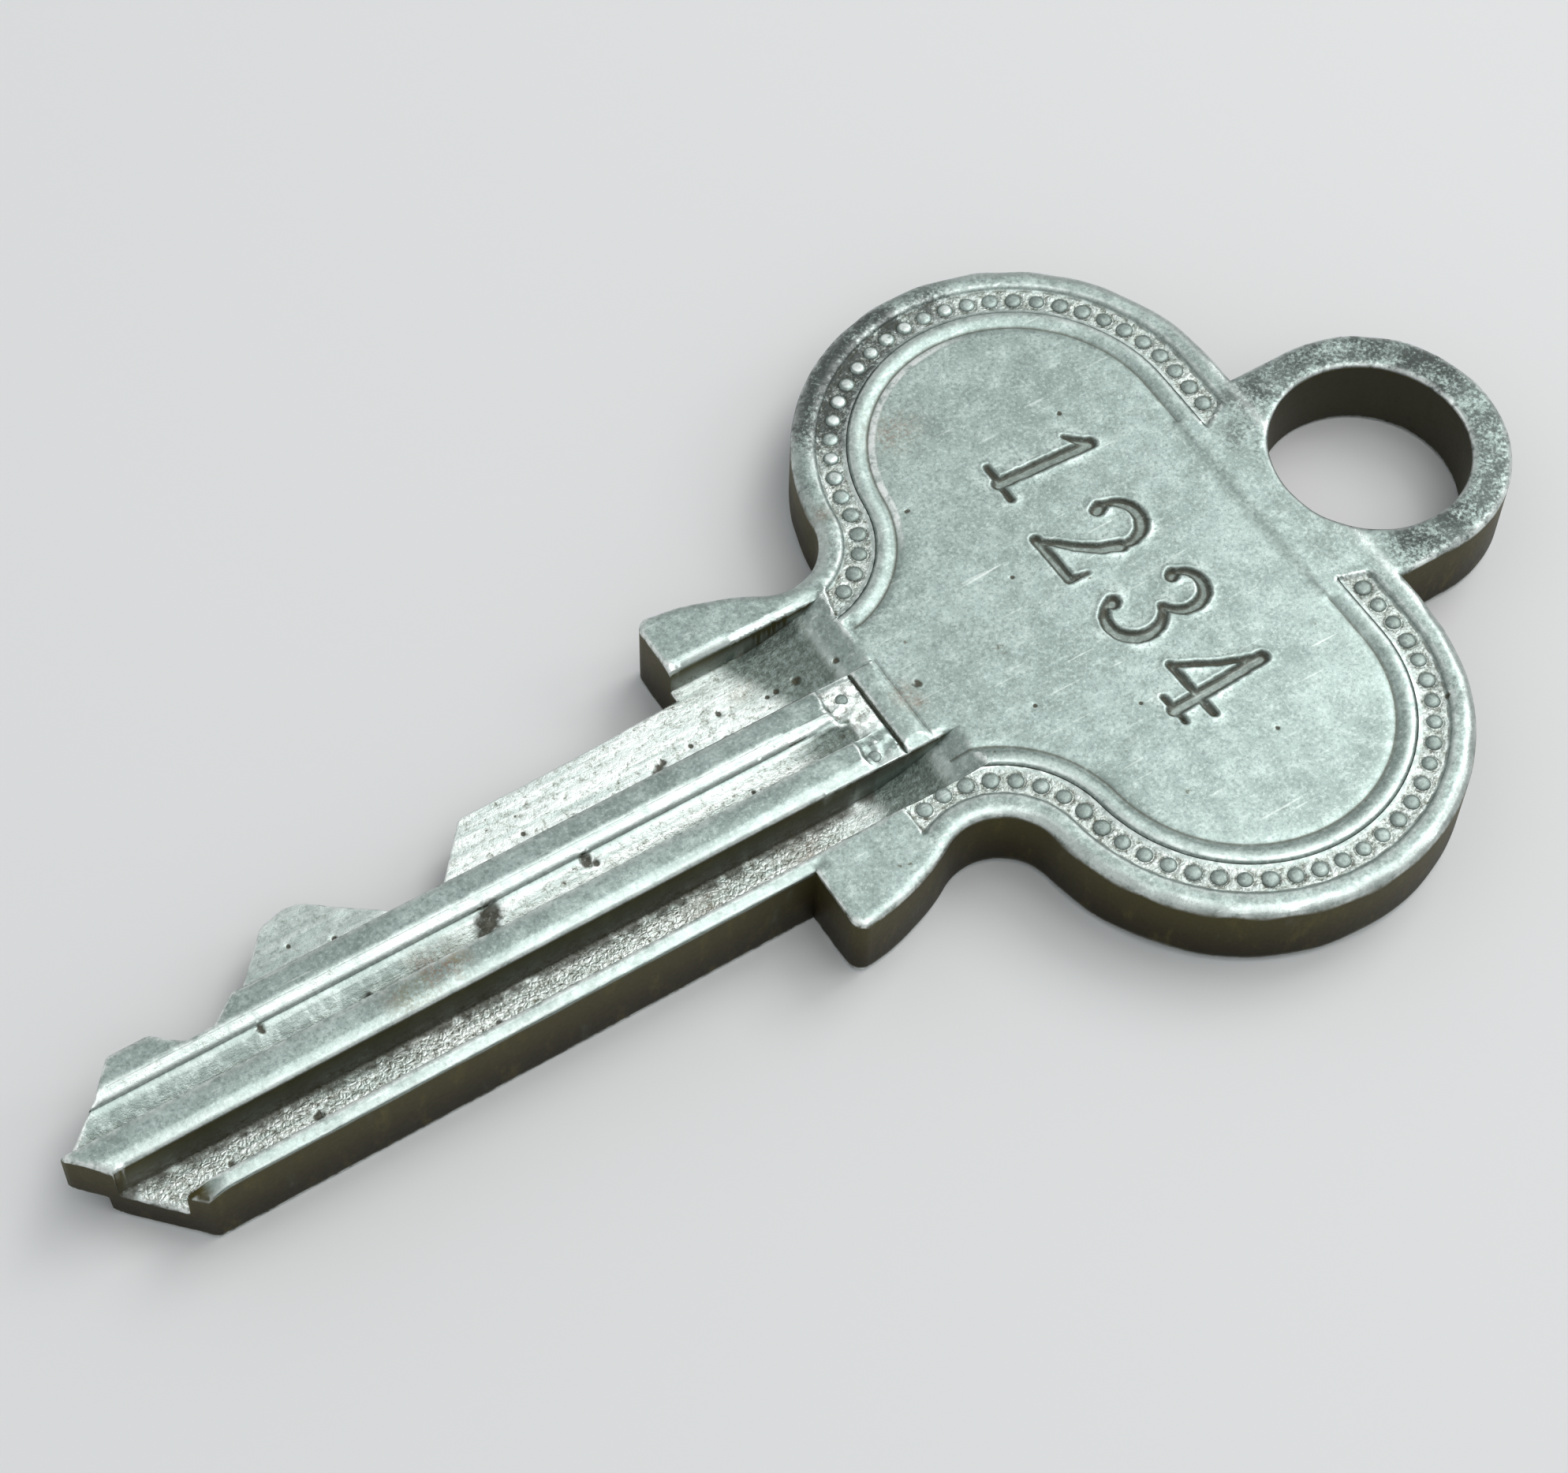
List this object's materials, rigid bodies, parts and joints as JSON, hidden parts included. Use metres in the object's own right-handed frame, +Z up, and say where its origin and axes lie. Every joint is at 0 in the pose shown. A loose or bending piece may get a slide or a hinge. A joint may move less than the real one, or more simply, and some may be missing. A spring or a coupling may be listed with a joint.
{
  "type": "cylinder lock key",
  "caption": "Flat nickel silver key with a ring eye, a two-lobed bow edged with pearls, square shoulders and a grooved blade with pin cuts.",
  "frame": {"origin": "in the plane of the shoulder stops, on the bow's centre line, on the surface the key rests on", "axes": "+X towards the ring eye along the key, +Y towards the cut edge, +Z up out of the numbered face"},
  "size_m": [0.044, 0.0226, 0.0024],
  "materials": {
    "ring_eye": "struck nickel silver with a blue-black patina on its outer side, rubbed bright at the edges",
    "bow": "struck nickel silver, satin, mottled grey-green patina, bright worn edges",
    "neck": "struck nickel silver, satin, with milled run-outs",
    "blade": "milled nickel silver with cutter marks, small pits and brown dirt in the grooves",
    "pearls": "struck nickel silver, tops rubbed bright, dark between the pearls"
  },
  "bodies": {
    "root": {"ring_eye": "ring_eye", "bow": "bow", "neck": "neck", "blade": "blade", "pearls": "pearls"}
  },
  "joints": []
}
